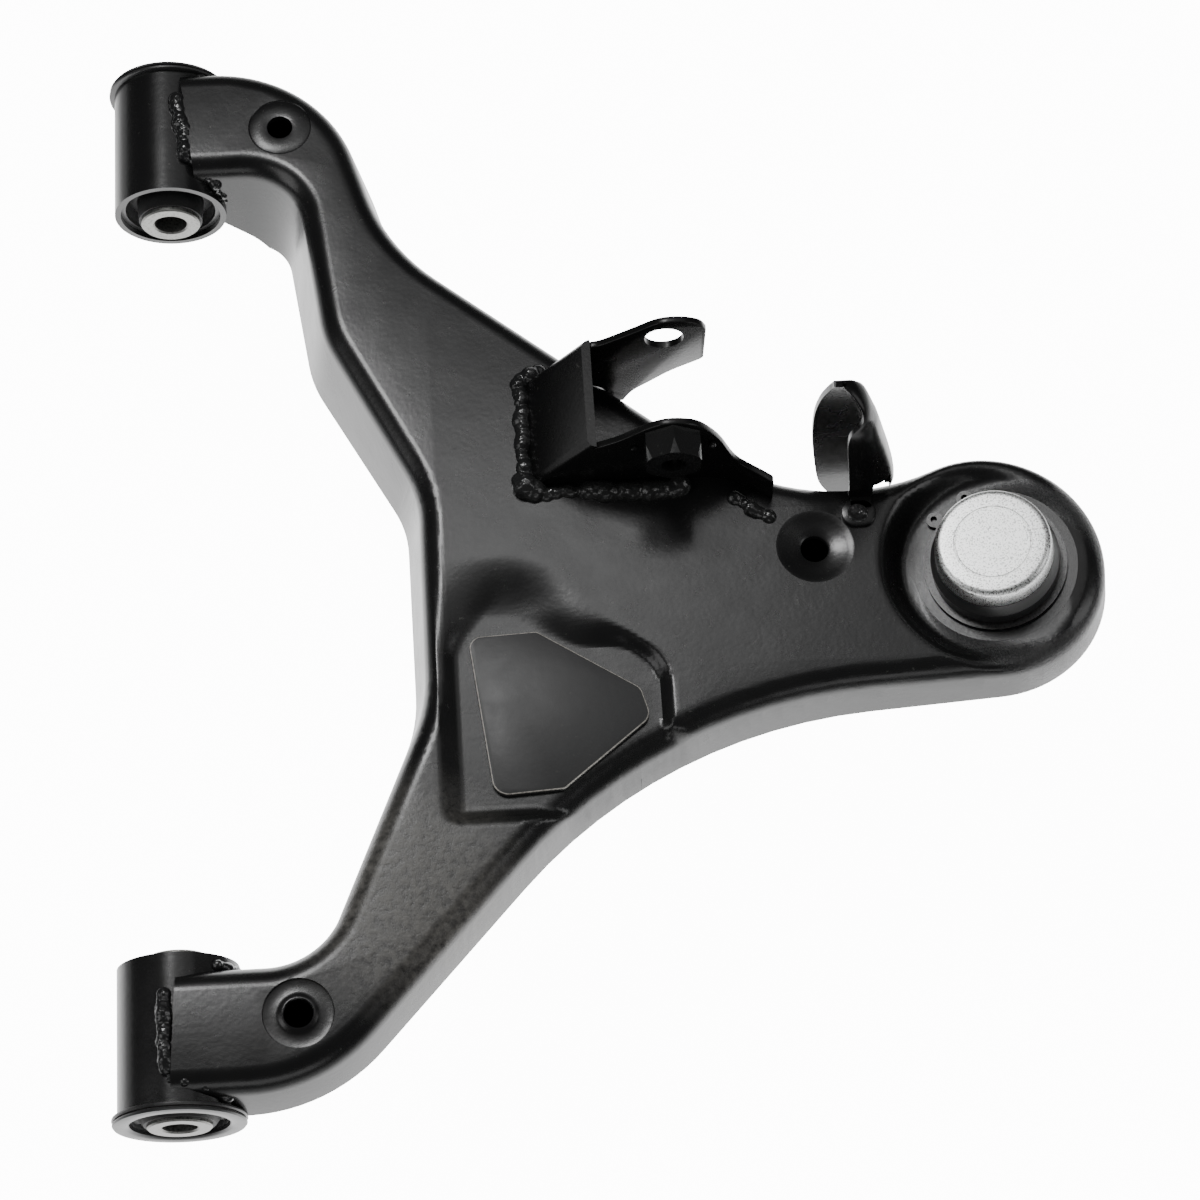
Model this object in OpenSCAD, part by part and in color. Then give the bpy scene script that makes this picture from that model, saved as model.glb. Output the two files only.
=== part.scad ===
// Lower control arm of a pickup truck: two pressed shells welded into a hollow A,
// two rubber bushes on one pivot axis, a damper bracket, two stops and a ball joint.
// The origin is the middle of the pivot axis. +X points outboard to the ball joint,
// +Y runs along the pivot axis and +Z is up, square to the flat top of the arm.

/* [Arm body] */
// Height of the flat top face above the pivot axis
top_z = 31.5; // [31:0.5:33]
// Thickness of both pressed shells
sheet = 3.5; // [3:0.5:4]
// Radius rolled along the upper edge of the arm
edge_r = 12; // [10:1:14]
// Angle by which the side walls lean outwards
draft = 10; // [6:1:12]

/* [Bushes] */
// Distance between the middles of the two bushes
bush_span = 474; // [470:1:478]
// Length of each welded bush tube
tube_len = 70; // [66:1:72]
// Outer radius of the bush tube
tube_r = 28.5; // [28:0.5:28.5]
// Radius of the bolt hole through the inner sleeve
bolt_r = 8.25; // [7:0.25:9]
// Overall length of the inner sleeve
sleeve_len = 81; // [80:1:90]

/* [Damper bracket] */
// Distance of the damper bolt from the pivot axis, outboard
damper_x = 243.5; // [242:0.5:245]
// Height of the damper bolt above the pivot axis
damper_z = 76; // [74:0.5:78]
// Clear width between the two ears
damper_gap = 50.5; // [48:0.5:52]
// Thickness of the bracket plate
ear_t = 3.5; // [3:0.5:4]

/* [Ball joint] */
// Lean of the ball joint's axis towards the pivot axis, in degrees
ball_lean = 10.5; // [8:0.5:12]
// Radius of the housing where it is pressed into the eye
housing_r = 31; // [30:0.5:31.5]
// Radius of the ball
ball_r = 15.5; // [14:0.5:16]
// Major radius of the stud's thread
stud_thread_r = 7; // [6:0.5:8]

/* [Hidden] */
$fn = 64;

paint = "#17181a";
steel = "#b9bcc0";
zinc = "#d4d7da";
rubber = "#1c1c1d";
eps = 0.01;
big = 400;

front_y = bush_span / 2;
rear_y = -bush_span / 2;
bevel_step = 11;

// Corners of the arm seen from above, at the top of the side walls: [x, y, radius].
arm_corners = [
    [-30, -270, 0],
    [68, -270, 80],
    [231, -92.5, 250],
    [453.5, -83, 57.5],
    [453.5, 59, 57.5],
    [312, 0, 110],
    [112, 164.5, 100],
    [80, 271, 74],
    [-30, 271, 0],
    [-30, 208, 0],
    [65, 208.5, 30],
    [76.5, 114, 60],
    [121, 25, 60],
    [120.5, -85, 80],
    [67, -210, 38],
    [-30, -210, 0]
];

// Pocket in which the bump stop pad lies. It runs out over the arm's lower edge.
pocket_corners = [
    [126.5, -148, 7],
    [168, -147, 0],
    [190, -170, 0],
    [260, -122, 0],
    [238, -104, 0],
    [238, -70, 26],
    [205, -45, 30],
    [126.5, -45, 12]
];
pocket_depth = 5;

// Pad plate, a cut-off triangle.
pad_corners = [
    [142, -54, 6],
    [151, -135, 8],
    [184, -133, 3],
    [227, -99, 7],
    [223, -84, 7],
    [175, -52.5, 4]
];
pad_t = 3;

// The ball joint's axis passes through ball_axis at the height of its snap ring.
ball_axis = [399, -28, 28];
eye_top = -2.6;
eye_bottom = -27;
ball_w = -14;

// Underside of the arm: a plane that drops towards the front leg.
function floor_z(x, y) = -18 + 0.04 * x - 0.065 * y;

function unit(v) = v / norm(v);
function flat(p) = [p[0], p[1]];
function spin(v, a) = [v[0] * cos(a) - v[1] * sin(a), v[0] * sin(a) + v[1] * cos(a)];

// Arc that rounds the corner p between its neighbours before and after.
function corner(before, p, after) = let (
    u = unit(flat(p) - flat(before)),
    v = unit(flat(after) - flat(p)),
    a = atan2(u[0] * v[1] - u[1] * v[0], u * v),
    start = flat(p) - p[2] * tan(abs(a) / 2) * u,
    centre = start + sign(a) * p[2] * [-u[1], u[0]],
    n = max(1, ceil(abs(a) / bevel_step))
) p[2] == 0 ? [flat(p)] : [for (i = [0:n]) centre + spin(start - centre, a * i / n)];

function rounded(c) = let (n = len(c))
    [for (i = [0:n - 1]) each corner(c[(i + n - 1) % n], c[i], c[(i + 1) % n])];

// Moves every point of a counter-clockwise outline outwards by d, on its mitre.
function grown(path, d) = let (n = len(path)) [
    for (i = [0:n - 1]) let (
        e = unit(path[i] - path[(i + n - 1) % n]),
        f = unit(path[(i + 1) % n] - path[i]),
        out = [e[1] + f[1], -e[0] - f[0]]
    ) path[i] + d * out / (1 + e * f)
];

// Closed solid between rings of equal length, the first ring on top.
module skin(rings) {
    n = len(rings[0]);
    last = len(rings) - 1;
    polyhedron(
        points = [for (ring = rings) each ring],
        faces = concat(
            [[for (i = [n - 1:-1:0]) i]],
            [for (k = [0:last - 1], i = [0:n - 1]) each let (
                j = (i + 1) % n,
                a = k * n,
                b = a + n
            ) [[a + i, a + j, b + j], [a + i, b + j, b + i]]],
            [[for (i = [0:n - 1]) last * n + i]]
        )
    );
}

arm_path = rounded(arm_corners);
edge_steps = 4;

// One ring of the arm's skin, inset by the sheet for the inner face.
function edge_ring(a, inset) = let (
    r = edge_r - inset,
    z = top_z - edge_r + r * cos(a)
) [for (p = grown(arm_path, r * sin(a) - edge_r)) [p[0], p[1], z]];

// Ring where a side wall meets the plane of the underside, lowered by drop.
function foot_ring(inset, drop) = let (
    a = 90 - draft,
    r = edge_r - inset,
    z = top_z - edge_r + r * cos(a),
    n = len(arm_path),
    wall = grown(arm_path, 1)
) [for (i = [0:n - 1]) let (
    p = arm_path[i],
    reach = r * sin(a) - edge_r + (z - floor_z(p[0], p[1]) + drop) * tan(draft),
    q = p + reach * (wall[i] - p)
) [q[0], q[1], floor_z(q[0], q[1]) - drop]];

module arm_solid(inset, drop) {
    skin(concat(
        [for (k = [0:edge_steps]) edge_ring((90 - draft) * k / edge_steps, inset)],
        [foot_ring(inset, drop)]
    ));
}

// Places its children on the ball joint's axis, +Z pointing up out of the arm.
module on_ball_axis() {
    translate(ball_axis) rotate([0, -ball_lean, 0]) children();
}

// Turns a solid of revolution onto the pivot axis, its outer end at +Z or -Z.
module on_bush(y, side) {
    translate([0, y, 0]) rotate([-90 * side, 0, 0]) children();
}

module ring(r_out, r_in, z0, z1) {
    difference() {
        translate([0, 0, z0]) cylinder(r = r_out, h = z1 - z0);
        translate([0, 0, z0 - 1]) cylinder(r = r_in, h = z1 - z0 + 2);
    }
}

// Pocket of the pad, and the sheet around it when grown.
module pocket(margin) {
    translate([0, 0, top_z - pocket_depth - margin])
        linear_extrude(height = big) polygon(grown(rounded(pocket_corners), margin));
}

// Bowl around the ball joint, square to the ball joint's own axis.
eye_r = 39.5;
bowl_r = 42.5;
bowl_slope = 0.8;
bowl_h = 20;
module bowl(margin) {
    on_ball_axis() translate([0, 0, eye_top - margin])
        cylinder(r1 = bowl_r + margin, r2 = bowl_r + margin + bowl_slope * bowl_h, h = bowl_h);
}

// Room for the bush tube and its flange, cut from the ends of both legs.
module bush_room() {
    for (side = [-1, 1]) {
        on_bush(side * bush_span / 2, side) {
            translate([0, 0, -tube_len / 2 - 20]) cylinder(r = tube_r, h = tube_len + 40);
            translate([0, 0, tube_len / 2 - 3]) cylinder(r = flange_r + 2, h = 30);
        }
    }
}

leg_end_x = 16;
module leg_ends() {
    translate([leg_end_x - big, -big, -big]) cube([big, 2 * big, 2 * big]);
}

// Locating holes in the top face: [x, y, radius].
holes = [[59, 233, 6], [57, -235, 6.5], [312, -16, 6.5]];
module hole_cuts() {
    for (h = holes) translate([h[0], h[1], top_z - 20]) cylinder(r = h[2], h = 40);
}

// Tongue of the top face that laps onto the crown of a bush tube: [y from, y to].
tongues = [[221, 262], [-262, -219]];

module upper_shell() {
    color(paint) resize([0, 0, 0]) upper_pressing();
}

module upper_pressing() {
    difference() {
        difference() {
            arm_solid(0, 0);
            pocket(0);
            bowl(0);
        }
        difference() {
            arm_solid(sheet, 8);
            pocket(sheet);
            bowl(sheet);
        }
        leg_ends();
        bush_room();
        hole_cuts();
        on_ball_axis() cylinder(r = eye_r + 0.2, h = 80, center = true);
    }
    for (y = tongues) translate([-1, y[0], tube_r])
        cube([leg_end_x + 4, y[1] - y[0], top_z - tube_r]);
}

floor_gap = 0.3;
floor_lift = 2;
module lower_shell() {
    color(paint) resize([0, 0, 0]) difference() {
        skin([
            for (lift = [floor_lift + sheet, floor_lift]) [
                for (p = foot_ring(sheet + floor_gap, -lift)) [p[0], p[1], floor_z(p[0], p[1]) + lift]
            ]
        ]);
        leg_ends();
        bush_room();
        on_ball_axis() cylinder(r = eye_r + 0.2, h = 120, center = true);
    }
}

// Fillet bead that closes the seam between the two shells from below.
bead = 2;
module seam_weld() {
    n = len(arm_path);
    inner = foot_ring(sheet, -floor_lift);
    low = foot_ring(sheet, 0);
    color(paint) resize([0, 0, 0]) difference() {
        skin_loop([
            inner,
            [for (i = [0:n - 1]) low[i] + [0, 0, 0.4]],
            [for (i = [0:n - 1]) let (q = grown([for (p = inner) flat(p)], -bead)[i])
                [q[0], q[1], floor_z(q[0], q[1]) + floor_lift]]
        ]);
        leg_ends();
        bush_room();
        on_ball_axis() cylinder(r = eye_r + 4, h = 160, center = true);
    }
}

// Closed tube whose section is made by the same point of every loop.
module skin_loop(loops) {
    n = len(loops[0]);
    m = len(loops);
    polyhedron(
        points = [for (loop = loops) each loop],
        faces = [for (k = [0:m - 1], i = [0:n - 1]) each let (
            j = (i + 1) % n,
            a = k * n,
            b = ((k + 1) % m) * n
        ) [[a + i, a + j, b + j], [a + i, b + j, b + i]]]
    );
}

// Bush tube, welded between the ends of the two shells.
tube_wall = 3;
module bush_tube(y, side) {
    color(paint) on_bush(y, side) ring(tube_r, tube_r - tube_wall, -tube_len / 2, tube_len / 2);
}
module front_bush_tube() { bush_tube(front_y, 1); }
module rear_bush_tube() { bush_tube(rear_y, -1); }

// Beads that join a bush tube to the tongue and to both side walls.
bead_r = 2.6;
module bush_weld(walls, tongue) {
    color(paint) {
        translate([-2.5, tongue[0], tube_r + 0.4]) rotate([-90, 0, 0])
            cylinder(r = bead_r + 0.4, h = tongue[1] - tongue[0]);
        for (wall = walls) translate([0, wall[0], 0]) rotate([90, 0, 0])
            rotate([0, 0, wall[1]]) rotate_extrude(angle = wall[2])
                translate([tube_r + 0.6, 0]) circle(r = bead_r, $fn = 24);
    }
}
module front_bush_weld() { bush_weld([[209, -38, 82], [266, -30, 74]], tongues[0]); }
module rear_bush_weld() { bush_weld([[-208, 6, 40], [-266, 6, 40]], tongues[1]); }

// Pressed-in outer sleeve of a bush, with its rolled flange at the outer end.
sleeve_wall = 2;
flange_r = 31.3;
flange_t = 4.5;
module outer_sleeve(y, side) {
    z0 = tube_len / 2;
    r_out = tube_r - tube_wall;
    r_in = r_out - sleeve_wall;
    color(paint) on_bush(y, side) rotate_extrude($fn = 96) polygon([
        [r_in, 3 - z0],
        [r_out, 3 - z0],
        [r_out, z0],
        [flange_r - 0.4, z0],
        [flange_r, z0 + 0.4],
        [flange_r, z0 + 1.4],
        [flange_r - 1.5, z0 + 1.8],
        [flange_r - 1.5, z0 + 2.4],
        [flange_r - 0.4, z0 + 2.6],
        [flange_r - 0.4, z0 + flange_t - 1],
        [flange_r - 1.4, z0 + flange_t],
        [r_in + 0.8, z0 + flange_t],
        [r_in, z0 + flange_t - 0.8]
    ]);
}
module front_outer_sleeve() { outer_sleeve(front_y, 1); }
module rear_outer_sleeve() { outer_sleeve(rear_y, -1); }

// Rubber bonded between the sleeves, hollowed at both ends.
inner_r = 15;
slip = 0.05;
module bush_rubber(y, side) {
    z0 = tube_len / 2;
    r_out = tube_r - tube_wall - sleeve_wall;
    color(rubber) on_bush(y, side) rotate_extrude($fn = 96) polygon([
        [inner_r + slip, -z0 - 3],
        [inner_r + 1.2, -z0 - 3],
        [inner_r + 2.2, 8 - z0],
        [r_out - 1.5, 10 - z0],
        [r_out, 5 - z0],
        [r_out, z0 + 2],
        [r_out - 1, z0 + 2],
        [r_out - 2, z0 - 6],
        [inner_r + 2.5, z0 - 6],
        [inner_r + 1.5, z0 + 3.5],
        [inner_r + slip, z0 + 3.5]
    ]);
}
module front_bush_rubber() { bush_rubber(front_y, 1); }
module rear_bush_rubber() { bush_rubber(rear_y, -1); }

module inner_sleeve(y) {
    h = sleeve_len / 2;
    c = 0.8;
    color(steel) on_bush(y, 1) rotate_extrude($fn = 96) polygon([
        [bolt_r, -h],
        [inner_r - c, -h],
        [inner_r, c - h],
        [inner_r, h - c],
        [inner_r - c, h],
        [bolt_r, h]
    ]);
}
module front_inner_sleeve() { inner_sleeve(front_y); }
module rear_inner_sleeve() { inner_sleeve(rear_y); }

// Flat plate that the frame's bump stop strikes.
module bump_stop_pad() {
    color(paint) translate([0, 0, top_z - pocket_depth])
        linear_extrude(height = pad_t) polygon(rounded(pad_corners));
}

// Damper bracket: a channel whose back slopes up from the arm and whose two ears
// stand across the arm. The inner ear stands on the top face, the outer ear hangs over its edge.
near_y = 23.5;
far_y = near_y + ear_t + damper_gap;
back_x = [176, 203.5];
back_z = 71.5;
module ear_outline(foot) {
    difference() {
        polygon(concat(
            [[back_x[0], top_z], foot],
            [for (a = [0:10:120]) [damper_x + 2, damper_z] + 16 * [cos(a), sin(a)]],
            [[back_x[1], back_z]]
        ));
        children();
    }
}
module ear(y) {
    translate([0, y + ear_t, 0]) rotate([90, 0, 0]) linear_extrude(height = ear_t) children();
}
far_hole_r = 9.5;
nut_hole_r = 6.1;
module damper_bracket() {
    color(paint) difference() {
        union() {
            ear(near_y) polygon(concat(
                [[back_x[0], top_z], [tail_x + 1, top_z], [tail_x + 1, damper_z + 1]],
                [for (a = [20:10:125]) [damper_x + 1, damper_z - 2] + 18 * [cos(a), sin(a)]],
                [[back_x[1], back_z]]
            ));
            ear(far_y) polygon(concat(
                [[back_x[0], top_z], [199.3, top_z], [208.5, 30], [214, 27], [217.4, 23]],
                [[218.2, 19.5], [220.2, 12], [225, 12], [231, 26], [248, 44], [263.5, 56]],
                [for (a = [-10:10:125]) [damper_x + 2, damper_z - 2] + 18 * [cos(a), sin(a)]],
                [[back_x[1], back_z]]
            ));
            translate([0, far_y + ear_t, 0]) rotate([90, 0, 0])
                linear_extrude(height = far_y + ear_t - near_y) polygon([
                    [back_x[0], top_z],
                    [back_x[0] + 4.3, top_z],
                    [back_x[1] + 4.3, back_z],
                    [back_x[1], back_z]
                ]);
            tail();
        }
        translate([damper_x, 0, damper_z]) rotate([-90, 0, 0]) {
            cylinder(r = nut_hole_r, h = 60);
            translate([0, 0, 50]) cylinder(r = far_hole_r, h = 60);
        }
    }
}
// Tail of the inner ear, bent towards the rear along the edge of the arm.
tail_x = 262;
tail_r = 37.5;
module tail() {
    intersection() {
        translate([tail_x, near_y + ear_t - tail_r, top_z]) ring(tail_r, tail_r - ear_t, 0, 60);
        translate([tail_x, 1, top_z]) cube([32, 40, 60]);
        translate([tail_x, 60, top_z]) rotate([90, 0, 0]) linear_extrude(height = 80)
            polygon([[0, 0], [32, 0], [32, 17], [15, 19], [4.5, 41], [0, 46]]);
    }
}

module damper_bracket_weld() {
    y0 = near_y;
    y1 = far_y + ear_t;
    color(paint) {
        translate([back_x[0] - 1.5, y0, top_z]) rotate([-90, 0, 0]) cylinder(r = 3, h = y1 - y0, $fn = 32);
        for (end = [y0, y1]) translate([back_x[0] - 1.5, end, top_z]) sphere(r = 3, $fn = 32);
        translate([back_x[0], y0 - 0.5, top_z]) rotate([0, 90, 0]) cylinder(r = 2.5, h = 100, $fn = 32);
        translate([back_x[0], y1 + 0.5, top_z]) rotate([0, 90, 0]) cylinder(r = 2.5, h = 24, $fn = 32);
    }
}

// Hexagon nut welded to the rear face of the inner ear.
nut_r = 15;
nut_h = 14;
module damper_weld_nut() {
    color(paint) translate([damper_x, near_y, damper_z]) rotate([90, 0, 0]) difference() {
        intersection() {
            rotate([0, 0, 90]) cylinder(r = nut_r, h = nut_h, $fn = 6);
            cylinder(r1 = nut_r + 1, r2 = nut_r - 1.2, h = nut_h, $fn = 64);
        }
        translate([0, 0, -1]) cylinder(r = nut_hole_r, h = nut_h + 2);
    }
}

// Droop stop: a deep-drawn half cup standing on the arm's front edge, open towards the pivot.
stop_x = 331;
stop_y = 21;
stop_h = 90;
module stop_cup(inset) {
    hull() {
        for (z = [-22 - inset, 72]) translate([0, 0, top_z + z]) stop_section(24 - (z + 22) * 0.12 - inset, 13 - inset);
        translate([-4, 0, top_z + stop_h - inset]) stop_section(5, 5);
    }
}
module stop_section(reach, r) {
    linear_extrude(height = eps) hull() {
        translate([stop_x - 24, stop_y]) square([1, 2 * r], center = true);
        translate([stop_x + reach - r, stop_y]) circle(r = r, $fn = 32);
    }
}
module droop_stop() {
    color(paint) {
        difference() {
            stop_cup(0);
            translate([-0.7, 0, 0]) stop_cup(3);
            translate([stop_x - 120, -50, -50]) cube([100, 200, 300]);
            translate([stop_x - 60, stop_y - 60, top_z - 60]) cube([58, 60, 200]);
            translate([stop_x - 60, stop_y - 60, top_z + 70]) cube([74, 62, 60]);
            translate([stop_x + 8, -50, top_z - 60]) cube([60, 200, 66]);
            translate([stop_x - 60, -50, top_z - 60]) cube([100, 50 + stop_y - 3, 60]);
        }
        hull() for (x = [0, 14]) translate([stop_x + x, stop_y - 20, top_z]) cylinder(r = 6, h = 2.5, $fn = 32);
        translate([stop_x - 2, stop_y - 20, top_z]) cube([13, 10, 2.5]);
    }
}
module droop_stop_weld() {
    color(paint) translate([stop_x + 7, stop_y - 21, top_z]) cylinder(r1 = 4, r2 = 3, h = 3.2, $fn = 32);
}

// Turned ring that carries the ball joint between the two shells.
module ball_joint_eye() {
    color(paint) on_ball_axis() ring(eye_r, housing_r, eye_bottom, eye_top);
}

// Housing, pressed in from below until its collar meets the eye.
collar_r = 35;
groove_r = 29.5;
cup_r = 19;
module ball_joint_housing() {
    color("#2a2b2d") on_ball_axis() rotate_extrude($fn = 96) polygon([
        [16.4, eye_bottom - 7],
        [25, eye_bottom - 7],
        [25, eye_bottom - 3],
        [collar_r, eye_bottom - 3],
        [collar_r, eye_bottom],
        [housing_r, eye_bottom],
        [housing_r, eye_top],
        [groove_r, eye_top],
        [groove_r, eye_top + 2.4],
        [housing_r, eye_top + 2.4],
        [housing_r, 7],
        [28.5, 13],
        [22, 13],
        [22, 6],
        [cup_r, 6],
        [cup_r, ball_w - 10],
        [14.5, ball_w - 16]
    ]);
}

// Zinc-plated cover rolled over the top of the housing.
cap_r = 27.3;
cap_top = 26;
module ball_joint_cap() {
    color(zinc) on_ball_axis() rotate_extrude($fn = 96) polygon([
        [0, 6],
        [22, 6],
        [22, 13],
        [28.5, 13],
        [28.4, 16],
        [cap_r, cap_top - 1],
        [cap_r - 1, cap_top],
        [19, cap_top],
        [18.5, cap_top - 0.7],
        [18, cap_top],
        [0, cap_top]
    ]);
}

// Open snap ring with two eyes, in the groove above the eye.
ring_gap_angle = 121;
module snap_ring() {
    color("#3a3b3d") on_ball_axis() translate([0, 0, eye_top + 0.1]) difference() {
        union() {
            ring(34.5, groove_r + 0.1, 0, 2.2);
            for (s = [-1, 1]) rotate([0, 0, ring_gap_angle + 14 * s]) {
                translate([38, 0, 0]) cylinder(r = 4, h = 2.2);
                translate([34, -3, 0]) cube([4, 6, 2.2]);
            }
        }
        rotate([0, 0, ring_gap_angle]) translate([20, -5, -1]) cube([30, 10, 5]);
        for (s = [-1, 1]) rotate([0, 0, ring_gap_angle + 14 * s])
            translate([38.5, 0, -1]) cylinder(r = 1.6, h = 5);
    }
}

// Plastic liner in which the ball turns, loaded from above by a spring disc.
ball_slip = 0.05;
module ball_seat_liner() {
    color("#e6e2d4") on_ball_axis() difference() {
        translate([0, 0, ball_w - 10]) cylinder(r = cup_r, h = 23);
        translate([0, 0, ball_w]) sphere(r = ball_r + ball_slip, $fn = 96);
        translate([0, 0, ball_w - 20]) cylinder(r = 12.5, h = 20);
        translate([0, 0, ball_w]) cylinder(r = 6, h = 20);
    }
}
module ball_preload_disc() {
    color(steel) on_ball_axis() rotate_extrude($fn = 96) polygon([
        [9.5, ball_w + 13],
        [cup_r, ball_w + 13],
        [cup_r, ball_w + 14.5],
        [14, 6],
        [9.5, 6]
    ]);
}

// Ball stud: ball, neck, tapered seat and thread, with a cross hole for the split pin.
stud_end = -97;
module ball_stud() {
    color(steel) on_ball_axis() difference() {
        union() {
            translate([0, 0, ball_w]) sphere(r = ball_r, $fn = 96);
            rotate_extrude($fn = 96) polygon([
                [0, ball_w],
                [7.5, ball_w - 12],
                [7.5, ball_w - 26],
                [11, ball_w - 30],
                [11, ball_w - 33],
                [9.5, ball_w - 34.5],
                [7.8, ball_w - 60],
                [stud_thread_r - 0.8, ball_w - 61],
                [stud_thread_r - 0.8, ball_w - 62],
                [stud_thread_r, ball_w - 63],
                [stud_thread_r, stud_end + 1.2],
                [stud_thread_r - 1.2, stud_end],
                [0, stud_end]
            ]);
        }
        translate([0, 0, stud_end + 5]) rotate([90, 0, 0]) cylinder(r = 1.6, h = 30, center = true, $fn = 24);
    }
}

// Rubber boot between the housing and the neck of the stud, with two retaining rings.
module dust_boot() {
    color(rubber) on_ball_axis() rotate_extrude($fn = 64) polygon([
        [22.5, eye_bottom - 7.1],
        [24.5, eye_bottom - 7.1],
        [27, eye_bottom - 10],
        [26.5, eye_bottom - 13],
        [20, eye_bottom - 17.5],
        [13.2, eye_bottom - 18.5],
        [13.2, eye_bottom - 22],
        [11.3, eye_bottom - 22],
        [11.3, eye_bottom - 16.5],
        [15, eye_bottom - 16],
        [22, eye_bottom - 12.5],
        [22.5, eye_bottom - 10]
    ]);
}
module boot_upper_ring() {
    color(steel) on_ball_axis() translate([0, 0, eye_bottom - 5]) rotate_extrude($fn = 64)
        translate([25.9, 0]) circle(r = 0.9, $fn = 16);
}
module boot_lower_ring() {
    color(steel) on_ball_axis() translate([0, 0, eye_bottom - 20.3]) rotate_extrude($fn = 64)
        translate([14.25, 0]) circle(r = 0.8, $fn = 16);
}

upper_shell();
lower_shell();
seam_weld();
front_bush_tube();
rear_bush_tube();
front_bush_weld();
rear_bush_weld();
front_outer_sleeve();
rear_outer_sleeve();
front_bush_rubber();
rear_bush_rubber();
front_inner_sleeve();
rear_inner_sleeve();
bump_stop_pad();
damper_bracket();
damper_bracket_weld();
damper_weld_nut();
droop_stop();
droop_stop_weld();
ball_joint_eye();
ball_joint_housing();
ball_joint_cap();
snap_ring();
ball_seat_liner();
ball_preload_disc();
ball_stud();
dust_boot();
boot_upper_ring();
boot_lower_ring();
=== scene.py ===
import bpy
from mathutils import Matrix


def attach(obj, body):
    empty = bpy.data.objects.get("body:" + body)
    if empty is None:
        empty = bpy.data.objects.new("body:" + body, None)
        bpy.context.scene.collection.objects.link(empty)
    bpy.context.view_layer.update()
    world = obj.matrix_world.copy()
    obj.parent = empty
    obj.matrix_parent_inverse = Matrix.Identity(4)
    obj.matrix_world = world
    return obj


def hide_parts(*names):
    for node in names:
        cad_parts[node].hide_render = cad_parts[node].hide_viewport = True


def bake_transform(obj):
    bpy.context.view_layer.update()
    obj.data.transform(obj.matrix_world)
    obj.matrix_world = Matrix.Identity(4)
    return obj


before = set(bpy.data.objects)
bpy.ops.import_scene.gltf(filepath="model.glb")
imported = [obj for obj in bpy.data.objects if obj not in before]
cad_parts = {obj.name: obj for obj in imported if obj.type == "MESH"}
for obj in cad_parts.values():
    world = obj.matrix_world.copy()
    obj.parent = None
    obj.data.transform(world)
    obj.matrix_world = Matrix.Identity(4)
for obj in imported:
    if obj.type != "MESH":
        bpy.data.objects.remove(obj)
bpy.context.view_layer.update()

import math
import random
import bmesh
import bpy
from mathutils import Matrix, Vector

# The studio: a pale floor well below the arm, six soft lights round it, and a long lens
# looking down at the arm from its rear side. The floor and the air look white to the
# camera, but light the arm only weakly, so that the black coating stays dark.
MM = 0.001


def finished(name, mesh_builder, material, body, slot, *nodes):
    """Turns a bmesh in millimetres into a piece of the arm."""
    mesh = bpy.data.meshes.new(name)
    bmesh.ops.scale(mesh_builder, vec=(MM, MM, MM), verts=mesh_builder.verts)
    mesh_builder.to_mesh(mesh)
    mesh_builder.free()
    piece = bpy.data.objects.new(name, mesh)
    bpy.context.scene.collection.objects.link(piece)
    mesh.materials.append(material)
    mesh.shade_smooth()
    mesh.set_sharp_from_angle(angle=math.radians(38))
    if body:
        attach(piece, body)
        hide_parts(*nodes)
    return piece


floor_paint = bpy.data.materials.new("studio_floor")
floor_paint.use_nodes = True
floor_shader = floor_paint.node_tree.nodes["Principled BSDF"]
floor_shader.inputs["Base Color"].default_value = (0.86, 0.86, 0.86, 1)
floor_shader.inputs["Roughness"].default_value = 0.9
floor_shader.inputs["Emission Color"].default_value = (1, 1, 1, 1)
floor_nodes, floor_links = floor_paint.node_tree.nodes, floor_paint.node_tree.links
floor_place = floor_nodes.new("ShaderNodeTexCoord")
floor_reach = floor_nodes.new("ShaderNodeVectorMath")
floor_reach.operation = "DISTANCE"
floor_reach.inputs[1].default_value = (0.2, 0, -0.15)
floor_links.new(floor_place.outputs["Object"], floor_reach.inputs[0])
pool = floor_nodes.new("ShaderNodeMapRange")
pool.inputs["From Min"].default_value = 0.36
pool.inputs["From Max"].default_value = 0.75
pool.inputs["To Min"].default_value = 2.9
pool.inputs["To Max"].default_value = 0.3
floor_links.new(floor_reach.outputs["Value"], pool.inputs["Value"])
seen = floor_nodes.new("ShaderNodeLightPath")
glow = floor_nodes.new("ShaderNodeMix")
glow.inputs[3].default_value = 13
floor_links.new(seen.outputs["Is Camera Ray"], glow.inputs[0])
floor_links.new(pool.outputs["Result"], glow.inputs[2])
floor_links.new(glow.outputs[0], floor_shader.inputs["Emission Strength"])
floor_shape = bmesh.new()
bmesh.ops.create_grid(floor_shape, x_segments=1, y_segments=1, size=3500)
bmesh.ops.translate(floor_shape, vec=(200, 0, -150), verts=floor_shape.verts)
floor = finished("studio_floor", floor_shape, floor_paint, None, None)


def softbox(name, place, target, size, power):
    """A rectangular soft light that faces its target."""
    light = bpy.data.lights.new(name, "AREA")
    light.shape = "RECTANGLE"
    light.size, light.size_y = size
    light.energy = power
    lamp = bpy.data.objects.new(name, light)
    lamp.location = place
    lamp.rotation_euler = (Vector(target) - Vector(place)).to_track_quat("-Z", "Y").to_euler()
    bpy.context.scene.collection.objects.link(lamp)


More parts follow.
